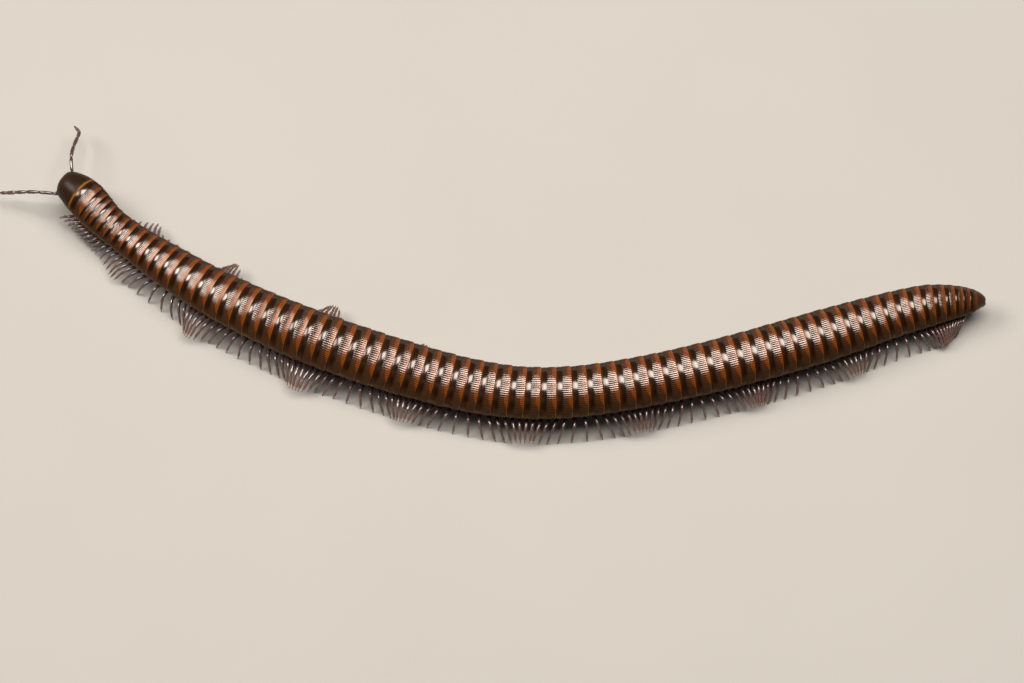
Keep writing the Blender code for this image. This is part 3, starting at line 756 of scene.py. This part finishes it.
def eye_paint():
    paint = Paint("ocelli")
    colour = paint.mix(paint.attribute("dome"), (0.02, 0.012, 0.008), (0.004, 0.003, 0.003))
    gloss = paint.spread(paint.noise(size=0.1, detail=2.0), BLOTCH_RANGE, (0.08, 0.16))
    paint.bump(size=0.03, detail=1.0, distance=0.001, strength=0.4)
    return paint.finish(colour, gloss, IOR=1.5)


COLLUM_STOPS = (
    (0.0, (0.06, 0.034, 0.018)), (0.05, (0.037, 0.021, 0.0115)), (0.13, (0.018, 0.0095, 0.005)),
    (0.4, (0.0135, 0.0068, 0.0034)), (0.8, (0.013, 0.0062, 0.003)), (0.905, (0.014, 0.0068, 0.003)),
    (0.93, (0.1, 0.038, 0.004)), (0.985, (0.13, 0.052, 0.008)), (1.0, (0.2, 0.1, 0.035)),
)
HEAD_STOPS = (
    (0.0, (0.012, 0.0065, 0.004)), (0.5, (0.022, 0.011, 0.006)), (0.8, (0.05, 0.023, 0.011)),
    (1.0, (0.11, 0.055, 0.025)),
)
TELSON_STOPS = (
    (0.0, (0.05, 0.017, 0.003)), (0.12, (0.03, 0.011, 0.003)), (0.3, (0.024, 0.0095, 0.0035)),
    (0.6, (0.024, 0.0095, 0.0035)), (0.82, (0.021, 0.0085, 0.0035)), (1.0, (0.035, 0.015, 0.006)),
)


def ring_grid(ring, columns):
    """Points and values of one ring, over its closed profile and round the body."""
    front, back = BODY.edges[ring - 1:ring + 1]
    length = back - front
    share, girth = np.array(RING_PROFILE).T
    turn = turns(columns)
    tilt = RANDOM.normal(0, RING_TILT, 2)
    swell = 1 + RANDOM.normal(0, RING_SWELL)
    depths = 1 + RANDOM.uniform(-STRIA_UNEVENNESS, STRIA_UNEVENNESS, STRIA_COUNT)
    nudges = RANDOM.uniform(-STRIA_NUDGE, STRIA_NUDGE, STRIA_COUNT)
    shifted = turn.copy()
    shifted[::len(STRIA_SHAPE)] += nudges * 2 * math.pi / columns
    strength = read_table(STRIA_ENVELOPE, share)
    strength[OUTER_ROWS:] = 0
    groove = strength[:, None] * np.outer(depths, STRIA_SHAPE).ravel()
    place = front + share * length
    wide = BODY.half_width(np.clip(place, front, back))[:, None]
    half = girth[:, None] * wide * swell - STRIA_DEPTH * groove * (wide / FULL_HALF_WIDTH)
    along = tilt[0] * np.cos(turn) + tilt[1] * np.sin(turn)
    grid = BODY.skin(place[:, None], half, shifted, along)
    away = np.minimum(turn, 2 * math.pi - turn)
    return grid, dict(share=np.clip(share, 0, 1)[:, None], turn=away, groove=np.clip(groove, 0, 1))


def band_strength(ring):
    """How strongly a ring shows its orange-brown band."""
    fade = read_table(BAND_FADE, ring) + RANDOM.normal(0, BAND_UNEVENNESS)
    return float(np.clip(fade, LEAST_BAND, 1.0))


def add_pore(piece, ring, side):
    """The raised lip of a defence gland's pore."""
    front, back = BODY.edges[ring - 1:ring + 1]
    place = front + PORE_SHARE * (back - front)
    turn = side * PORE_TURN
    middle = BODY.skin(place, PORE_GIRTH * BODY.half_width((front + back) / 2), turn)
    out = unit(middle - BODY.at(place))
    tail, _, _ = BODY.frame(place)
    down = unit(np.cross(out, tail))
    circle = circle_points(PORE_COLUMNS, tail, down)
    rows = [middle + PORE_HALF * (radius * circle + lift * out) for radius, lift in PORE_LIP]
    # The pore's lip is darkened towards the groove shade colour through its groove value, and its sheen is
    # lowered
    piece.add(rows, share=0.2, turn=abs(turn), groove=0.6, band=1.0)


def make_rings(number, first, last, paint):
    piece = Piece(f"trunk_{number:02d}_rings")
    columns = STRIA_COUNT * len(STRIA_SHAPE)
    for ring in range(first, last + 1):
        grid, values = ring_grid(ring, columns)
        piece.add(grid, loop=True, band=band_strength(ring), **values)
        if FIRST_PORE_RING <= ring < RING_COUNT:
            for side in (1, -1):
                add_pore(piece, ring, side)
    piece.write(paint, f"trunk_{number:02d}", slot="shell")


def leg_places(ring):
    """Places of the leg pairs on one ring."""
    front, back = BODY.edges[ring - 1:ring + 1]
    shares = DOUBLE_LEG_PLACES if ring >= FIRST_DOUBLE_RING else (SINGLE_LEG_PLACE,)
    return [front + share * (back - front) for share in shares if ring < RING_COUNT]


def leg_outline(place, side):
    """The few points that one leg's middle line passes, root to tip."""
    phase = 2 * math.pi * read_curve([*zip(GATHERINGS, range(len(GATHERINGS)))], place)
    phase -= WAVE_SKEW * math.sin(phase)
    wave = smooth_step((place - WAVE_START) / (WAVE_END - WAVE_START))
    raised = smooth_step((math.cos(phase) - STANCE_SHARE) / (1 - STANCE_SHARE)) * wave
    front = 1 - smooth_step((place - REACH_START) / (REACH_END - REACH_START))
    swing = -TIP_SWING * math.sin(phase) * wave - FRONT_REACH * front
    half = BODY.half_width(place)
    size = half / FULL_HALF_WIDTH
    belly = BODY.belly(place)
    swing_side = read_table(SWING_SIDES, place)
    if side < 0:
        swing_side -= read_table(RIGHT_TUCKS, place)
    reach = half - FULL_HALF_WIDTH + STANCE_SIDE + raised * (swing_side - STANCE_SIDE) - FRONT_TUCK * front
    outline = (
        (0.0, ROOT_SIDE * size, belly + ROOT_RISE * size),
        (COXA_SHARE * swing, COXA_SIDE * size, belly - COXA_DROP * size),
        (KNEE_SHARE * swing, KNEE_SIDE * size, belly + KNEE_RISE * size + KNEE_LIFT * raised),
        (swing, reach, max(raised * SWING_HEIGHT * size + BODY.rise(place), TIP_CLEARANCE)),
    )
    return [BODY.under(place, along, side * out, height) for along, out, height in outline], size


def add_seta(piece, root, direction, length, half):
    """One bristle, a thin cone of three sides."""
    aside = unit(np.cross(direction, (0.3, 0.2, 1.0)))
    circle = half * circle_points(3, aside, np.cross(direction, aside))
    rows = [root + circle, root + length * direction + SETA_POINT_SHARE * circle]
    piece.add(rows, reach=0.9, joint=0.0, share=0.8)


def between(shares, bounds, knots):
    """Points at shares of a limb whose articles are straight between its knots."""
    return np.stack([np.interp(shares, bounds, column) for column in knots.T], axis=-1)


def add_leg(piece, place, side):
    outline, size = leg_outline(place, side)
    shares, radii, joints = article_rows(LEG_ARTICLES, LEG_TIP_HALF, math.sqrt(size))
    bounds = [0.0] + [end for end, _, _ in LEG_ARTICLES]
    knots = sample_line(outline, bounds)
    knots[-1] = outline[-1]
    wobble = RANDOM.normal(0, LEG_WOBBLE, knots.shape) * size
    wobble[[0, -1]] = 0
    knots += wobble
    route = between(shares, bounds, knots)
    piece.add(tube_grid(route, radii, LEG_COLUMNS), reach=shares[:, None], joint=joints[:, None])
    spots = np.linspace(*SETA_STRETCH, LEG_SETAE) + RANDOM.uniform(-SETA_JITTER, SETA_JITTER, LEG_SETAE)
    for share in spots:
        root, after = between((share, share + SETA_STEP), bounds, knots)
        ahead = unit(after - root)
        spin = RANDOM.uniform(-SETA_SPIN, SETA_SPIN)
        down = unit(np.cross(np.cross(ahead, (0.0, 0.0, -1.0)), ahead))
        lie = unit(SETA_LEAN * ahead + math.cos(spin) * down + math.sin(spin) * np.cross(ahead, down))
        length = size * read_table(SETA_LENGTHS, share)
        if root[2] + SETA_MARGIN + length * lie[2] > TIP_CLEARANCE:
            add_seta(piece, root + SETA_ROOT * lie, lie, length, SETA_HALF)


def add_sternite(piece, place):
    """The plate between the roots of a pair of legs."""
    size = BODY.half_width(place) / FULL_HALF_WIDTH
    middle = BODY.under(place, 0.0, 0.0, BODY.belly(place) + STERNITE_INSET)
    piece.add_ball(middle, np.array(STERNITE_HALF) * size, BODY.frame(place), 7, 12, reach=0.1, joint=0.3)


def make_legs(number, first, last, paint):
    piece = Piece(f"trunk_{number:02d}_legs")
    for ring in range(first, last + 1):
        for place in leg_places(ring):
            add_sternite(piece, place)
            for side in (1, -1):
                add_leg(piece, place, side)
    piece.write(paint, f"trunk_{number:02d}", slot="limb")


def collum_skin(place, turn, inset):
    """Points on the collum's dome, or set in below it."""
    outline = np.array(COLLUM_OUTLINE)
    half, rise = [np.interp(place, outline[:, 0], column) - inset for column in outline[:, 1:].T]
    up = np.cos(turn)
    height = up * np.where(up > 0, rise, COLLUM_DROP_RATIO * half)
    return BODY.point(place, 0, np.sin(turn) * half, height)


def make_collum(paint):
    """A curved shield with a fine rim in front and round lobes at the sides."""
    turn = np.linspace(-COLLUM_REACH, COLLUM_REACH, COLLUM_COLUMNS)
    away = np.abs(turn) / COLLUM_REACH
    margin = read_curve(COLLUM_MARGIN, away)
    share = np.array(COLLUM_ROWS)
    place = margin + (COLLUM_END - margin) * share[:, None]
    rim = sum(ridge(share, *shape) for shape in COLLUM_RIDGES)
    fall = COLLUM_FALL * np.clip((share - COLLUM_FALL_START) / (1 - COLLUM_FALL_START), 0, 1) ** 2
    outer = collum_skin(place, turn, (fall - rim)[:, None])
    inward = np.clip(share, COLLUM_THIN_SHARE, 1 - COLLUM_THIN_SHARE)
    thick = COLLUM_THICKNESS * np.minimum(2 * np.sin(math.pi * inward), 1)
    inner = collum_skin(place, turn, thick[:, None] + COLLUM_INSET)
    along, frontal = place / COLLUM_END, share[:, None]
    ahead, behind = np.minimum(along, frontal), np.maximum(along, COLLUM_FRONT_TONE)
    tone = np.where(frontal < COLLUM_FRONT_TONE, ahead, behind)
    grid, tone = [np.concatenate([over, under[::-1]]) for over, under in ((outer, inner), (tone, tone))]
    piece = Piece("collum_shield")
    piece.add(grid, wrap=False, loop=True, share=tone)
    piece.write(paint, "collum", slot="shell")


def head_axes():
    """The head's own axes: back, left and up, turned so that the face looks down."""
    back, left, up = BODY.frame(HEAD_PLACE)
    cosine, sine = math.cos(HEAD_TURN), math.sin(HEAD_TURN)
    return np.array([back * cosine + up * sine, left, up * cosine - back * sine])


def head_point(offset, side=1):
    middle = BODY.at(HEAD_PLACE)
    middle[2] -= HEAD_DROP
    return middle + np.array(offset) * (1, side, 1) @ head_axes()


def head_dents(local):
    """How far points of the capsule, in the head's axes, stand out or in."""
    back, left, up = local[..., 0], local[..., 1], local[..., 2]
    dent = ridge(left, *SEAM) * smooth_step((up - SEAM_START) / SEAM_RUN)
    for side in (1, -1):
        socket = unit(np.array(FEELER_SOCKET) * (1, side, 1)) * HEAD_HALF
        gap = np.linalg.norm(local - socket, axis=-1)
        dent += ridge(gap, *SOCKET_HOLLOW) + ridge(gap, *SOCKET_RIM)
    return dent + ridge(up, *LIP_GROOVE) * (back < 0)


def make_head(paint):
    """Capsule, jaws, upper lip, chin plates and neck."""
    piece = Piece("head_capsule")
    axes = head_axes()
    middle = head_point((0, 0, 0))
    grid = ball_grid(middle, HEAD_HALF, axes, HEAD_ROWS, HEAD_COLUMNS)
    local = (grid - middle) @ axes.T
    grid = grid + (head_dents(local)[..., None] * unit(local / np.array(HEAD_HALF))) @ axes
    low = smooth_step((-local[..., 2] - FACE_START) / FACE_RUN)
    piece.add(grid, share=FACE_TONES[0] + (FACE_TONES[1] - FACE_TONES[0]) * low)
    for side, parts in ((1, PAIRED_HEAD_PARTS), (-1, PAIRED_HEAD_PARTS), (1, MIDDLE_HEAD_PARTS)):
        for offset, halves, rows, columns, tone in parts:
            piece.add_ball(head_point(offset, side), halves, axes, rows, columns, share=tone)
    for across in np.linspace(-1, 1, LIP_SETAE):
        root = head_point((LIP_FRONT + LIP_BOW * across ** 2, LIP_SPAN * across, LIP_HEIGHT))
        down = unit(LIP_SETA_DIRECTION @ axes + LIP_SETA_UNEVENNESS * RANDOM.normal(0, 1, 3))
        add_seta(piece, root, down, LIP_SETA_LENGTH, LIP_SETA_HALF)
    neck = np.linspace(NECK_HALF_WIDTHS[0][0], NECK_HALF_WIDTHS[-1][0], NECK_ROWS)[:, None]
    piece.add(BODY.skin(neck, read_table(NECK_HALF_WIDTHS, neck), turns(NECK_COLUMNS)), share=0.3)
    piece.write(paint, "head", slot="shell")


def make_eye(name, side, paint):
    """A patch of simple eyes: a low pad with rows of small domes."""
    piece = Piece(name + "_ocelli")
    axes = head_axes()
    middle = head_point(EYE_OFFSET, side)
    halves = np.array(EYE_HALF) * EYE_PAD_FIT
    piece.add_ball(middle, halves, axes, 18, 28, dome=0.0)
    for row in range(-EYE_ROWS, EYE_ROWS + 1):
        for step in range(-EYE_STEPS, EYE_STEPS + 1):
            across = (step + 0.5 * (row % 2)) * OCELLUS_SPACING
            rise = row * OCELLUS_SPACING * OCELLUS_ROW_RATIO
            reach = (across / (halves[0] * EYE_REACH)) ** 2 + (rise / (halves[2] * EYE_REACH)) ** 2
            if reach > EYE_EDGE:
                continue
            local = np.array([across, side * math.sqrt(1 - reach) * halves[1], rise])
            normal = unit(local / halves ** 2) @ axes
            aside = unit(np.cross(normal, axes[2]))
            dome_axes = (aside, np.cross(normal, aside), normal)
            piece.add_ball(middle + local @ axes, OCELLUS_HALF, dome_axes, 7, 12, dome=1.0)
    piece.write(paint, name, slot="eye")


def make_feeler(name, side, route, paint):
    """A feeler of seven club-shaped articles with short bristles and four cones at its tip."""
    piece = Piece(name + "_articles")
    socket = unit(np.array(FEELER_SOCKET)) * HEAD_HALF * SOCKET_INSET
    stops = [head_point(socket, side), *np.array(route)]
    shares, radii, joints = article_rows(FEELER_ARTICLES, FEELER_TIP_HALF, 1.0)
    line = sample_line(stops, shares)
    grid = tube_grid(line, radii, FEELER_COLUMNS)
    piece.add(grid, reach=FEELER_REACH * shares[:, None], joint=joints[:, None])
    ahead = unit(line[-1] - line[-3])
    aside = unit(np.cross(ahead, (0.0, 0.0, 1.0)))
    over = np.cross(aside, ahead)
    for spot in line[-1] + CONE_OFFSET * circle_points(FEELER_CONES, unit(aside + over), unit(over - aside)):
        piece.add_ball(spot, CONE_HALF, (aside, over, ahead), 6, 8, reach=1.0, joint=0.5)
    for _ in range(FEELER_SETAE):
        share = RANDOM.uniform(*FEELER_SETA_STRETCH)
        root, after = sample_line(stops, (share, share + 0.01))
        forward = unit(after - root)
        out = unit(np.cross(forward, RANDOM.normal(0, 1, 3)))
        lie = unit(FEELER_SETA_LEAN * forward + out)
        add_seta(piece, root + FEELER_SETA_ROOT * out, lie, FEELER_SETA_LENGTH, FEELER_SETA_HALF)
    piece.write(paint, name, slot="limb")


def make_telson(paint):
    """The pointed last piece: a tapering ring drawn out above two swelling valves with raised lips."""
    piece = Piece("telson_valves")
    front = BODY.edges[RING_COUNT]
    turn = turns(TELSON_COLUMNS)
    away = np.minimum(turn, 2 * math.pi - turn)
    end = 1 - HOOD[2] + ridge(away, *HOOD)
    share = np.outer(TELSON_SHARES, end)
    half = TELSON_HALF_WIDTH * (1 - np.clip(share, 0, TELSON_POINT_SHARE)) ** TELSON_TAPER
    half = np.where(share < 0, TELSON_HALF_WIDTH * TELSON_FRONT_GIRTH, half)
    outer = BODY.skin(front + TELSON_LENGTH * share, half, turn)
    inner_half = np.clip(half - TELSON_WALL, 0.02, None)
    inner = BODY.skin(front + TELSON_LENGTH * (share - TELSON_SKIN_SHARE), inner_half, turn)
    tone = np.clip(np.concatenate([share, share[::-1]]), 0, 1)
    piece.add(np.concatenate([outer, inner[::-1]]), loop=True, share=tone)
    axes = np.array(BODY.frame(front))
    for side in (1, -1):
        middle = BODY.point(front, VALVE_OFFSET[0], side * VALVE_OFFSET[1], VALVE_OFFSET[2])
        valve = ball_grid(middle, VALVE_HALF, axes, 26, 40)
        local = (valve - middle) @ axes.T
        inwards = -side * local[..., 1]
        flat = side * VALVE_FLATNESS * np.clip(inwards - VALVE_FLAT_START, 0, None)
        lip = ridge(inwards, *VALVE_LIP)
        valve = valve + flat[..., None] * axes[1] + lip[..., None] * unit(local) @ axes
        piece.add(valve, share=0.15)
    piece.add_ball(BODY.point(front, *SCALE_OFFSET), SCALE_HALF, axes, 9, 18, share=0.2)
    piece.write(paint, "telson", slot="shell")


def direction_at(azimuth, elevation):
    """Unit vector from the middle of the picture, at degrees round from the front and up."""
    level, rise = math.radians(azimuth), math.radians(elevation)
    return Vector((math.sin(level) * math.cos(rise), -math.cos(level) * math.cos(rise), math.sin(rise)))


def place_facing(made, direction, distance, shift=0.0):
    """Sets a light or camera off from the middle of the picture and turns it there, then shifts it."""
    made.location = Vector(CAMERA_TARGET) * METRE + direction * distance + Vector((shift, 0, 0))
    made.rotation_euler = direction.to_track_quat("Z", "Y").to_euler()


def add_area_light(name, azimuth, elevation, distance, size, power, shift):
    data = bpy.data.lights.new(name, "AREA")
    data.shape = "RECTANGLE"
    data.size, data.size_y = size
    data.energy = power
    data.color = LIGHT_COLOUR
    place_facing(add_object(name, data), direction_at(azimuth, elevation), distance, shift)


def make_studio():
    """Pale floor, soft lights and the camera at the photograph's angle."""
    edge = FLOOR_SIZE / 2
    corners = [(-edge, -edge, 0), (edge, -edge, 0), (edge, edge, 0), (-edge, edge, 0)]
    mesh = bpy.data.meshes.new("floor")
    mesh.from_pydata(corners, [], [(0, 1, 2, 3)])
    paint = Paint("pale_floor")
    tint = paint.mix(paint.noise(size=40.0, detail=2.0), *FLOOR_TINTS)
    mesh.materials.append(paint.finish(tint, FLOOR_ROUGHNESS))
    floor = add_object("floor", mesh)
    world = bpy.data.worlds.new("studio")
    bpy.context.scene.world = world
    world.use_nodes = True
    background = world.node_tree.nodes["Background"]
    background.inputs["Color"].default_value = SKY_COLOUR
    background.inputs["Strength"].default_value = SKY_STRENGTH
    for light in LIGHTS:
        add_area_light(*light)
    data = bpy.data.cameras.new("camera")
    data.sensor_width = SENSOR_WIDTH
    data.lens = SENSOR_WIDTH * CAMERA_DISTANCE / PICTURE_WIDTH
    camera = add_object("camera", data)
    place_facing(camera, direction_at(0, CAMERA_ELEVATION), CAMERA_DISTANCE * METRE)
    bpy.context.scene.camera = camera
    bpy.context.scene.view_settings.view_transform = "Standard"


def main():
    rings, limbs, eyes = ring_paint(), limb_paint(), eye_paint()
    first = 2
    for number, last in enumerate(LAST_RINGS_OF_LENGTHS, 1):
        make_rings(number, first, last, rings)
        make_legs(number, first, last, limbs)
        first = last + 1
    make_collum(shell_paint("collum_cuticle", COLLUM_STOPS, 0.3, 0.06))
    make_head(shell_paint("head_cuticle", HEAD_STOPS, 0.26, 0.3))
    make_eye("eye_left", 1, eyes)
    make_eye("eye_right", -1, eyes)
    make_feeler("antenna_left", 1, LEFT_FEELER, limbs)
    make_feeler("antenna_right", -1, RIGHT_FEELER, limbs)
    make_telson(shell_paint("telson_cuticle", TELSON_STOPS, 0.3, 0.14))
    make_studio()


main()
